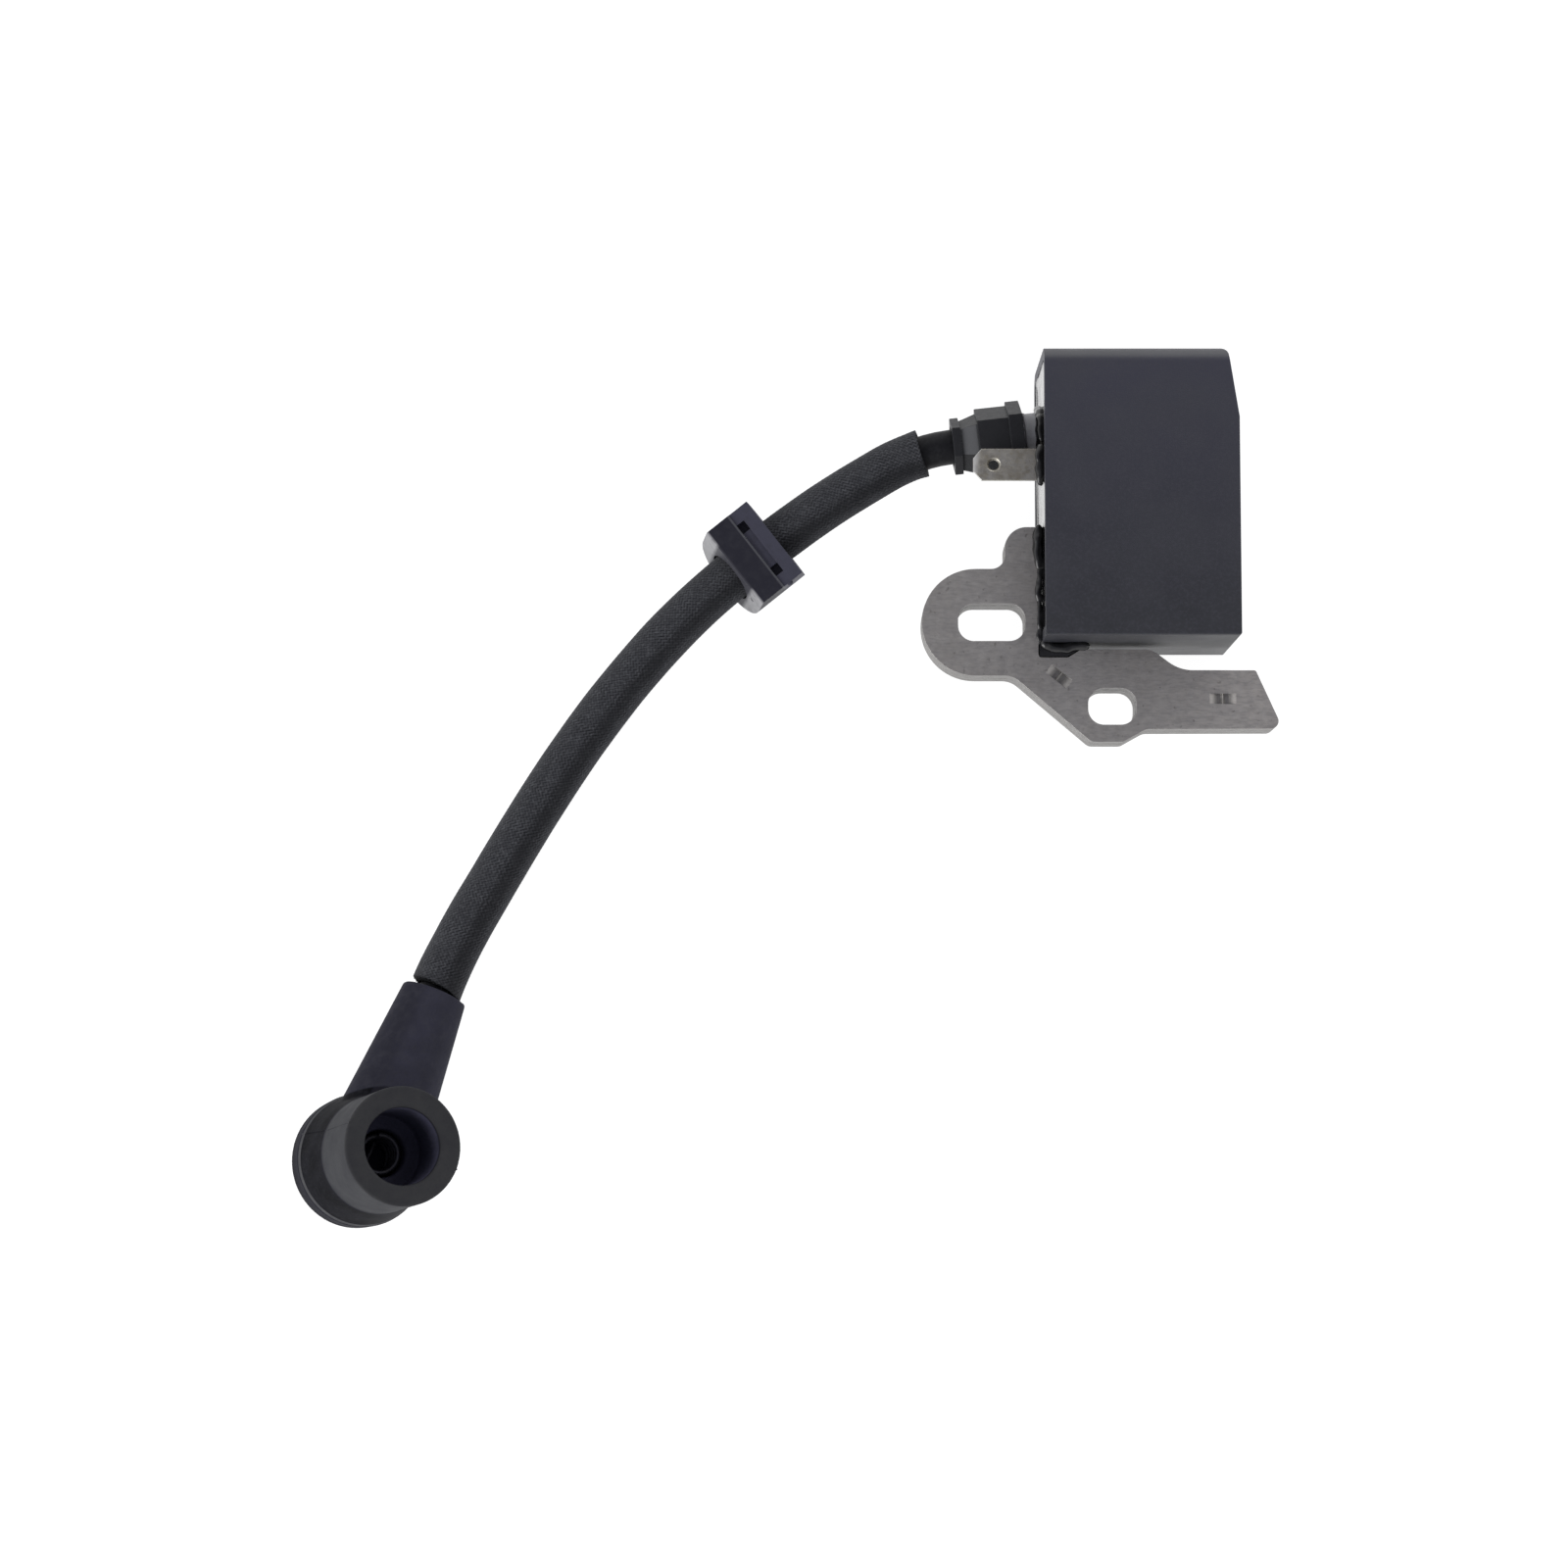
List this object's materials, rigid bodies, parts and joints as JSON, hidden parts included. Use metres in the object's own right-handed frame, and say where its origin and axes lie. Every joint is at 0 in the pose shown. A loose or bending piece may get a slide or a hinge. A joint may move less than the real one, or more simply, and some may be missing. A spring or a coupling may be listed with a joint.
{
  "type": "ignition coil",
  "caption": "Small-engine ignition module: potted coil housing on a slotted laminated core, with a stop-wire tab and a sleeved high-tension lead to a grommet and an angled spark plug boot.",
  "frame": {"origin": "middle of the footprint of the housing, core and outlets, on the surface that the housing's back lies on; the lead, sleeve, grommet and boot are left out of the footprint", "axes": "+X towards the flywheel side, where the pole faces are; +Y along the housing, away from the lower leg; +Z out of the surface, towards the front of the housing"},
  "size_m": [0.1491, 0.1321, 0.0303],
  "materials": {
    "housing_plastic": "fine moulded texture, satin",
    "potting_resin": "poured and cured, glossy with a slight meniscus",
    "core_steel": "stamped sheet, bright with faint rolling marks",
    "bobbin_plastic": "moulded",
    "copper_wire": "enamelled copper, varnished",
    "board_laminate": "lacquered",
    "component_epoxy": "moulded",
    "capacitor_lacquer": "dipped lacquer",
    "resistor_lacquer": "lacquered",
    "tinned_wire": "tinned",
    "spade_metal": "tinned, lightly brushed",
    "tower_plastic": "moulded, satin",
    "contact_brass": "turned",
    "cap_plastic": "moulded, semi-gloss",
    "lead_insulation": "smooth",
    "sleeve_textile": "woven, matt",
    "grommet_rubber": "moulded, satin",
    "boot_rubber": "moulded, satin",
    "spring_wire": "drawn wire"
  },
  "bodies": {
    "module": {"housing": "housing_plastic", "potting_resin": "potting_resin", "core_sheet_01": "core_steel", "core_sheet_02": "core_steel", "core_sheet_03": "core_steel", "core_sheet_04": "core_steel", "core_sheet_05": "core_steel", "core_sheet_06": "core_steel", "core_sheet_07": "core_steel", "core_sheet_08": "core_steel", "core_sheet_09": "core_steel", "core_sheet_10": "core_steel", "core_sheet_11": "core_steel", "primary_bobbin": "bobbin_plastic", "primary_winding": "copper_wire", "secondary_bobbin": "bobbin_plastic", "secondary_winding_1": "copper_wire", "secondary_winding_2": "copper_wire", "secondary_winding_3": "copper_wire", "secondary_winding_4": "copper_wire", "secondary_winding_5": "copper_wire", "circuit_board": "board_laminate", "power_transistor": "component_epoxy", "driver_transistor": "component_epoxy", "timing_capacitor": "capacitor_lacquer", "bias_resistor": "resistor_lacquer", "sense_resistor": "resistor_lacquer", "protection_diode": "component_epoxy", "ground_lead": "tinned_wire", "ht_contact_pin": "contact_brass", "spade_terminal": "spade_metal", "ht_tower": "tower_plastic", "strain_relief_cap": "cap_plastic", "ht_lead": "lead_insulation", "braided_sleeve": "sleeve_textile"},
    "grommet": {"grommet": "grommet_rubber"},
    "boot": {"spark_plug_boot": "boot_rubber", "boot_spring": "spring_wire"}
  },
  "joints": [
    {"name": "grommet_slide", "type": "slide", "parent": "module", "child": "grommet", "axis": [-0.7833, -0.6119, -0.1096], "range_m": [-0.004, 0.004]},
    {"name": "boot_twist", "type": "hinge", "parent": "module", "child": "boot", "pos_m": [-0.11033, -0.09168, 0.01046], "axis": [0.3436, 0.9195, -0.1909], "range_deg": [-60, 60]}
  ]
}
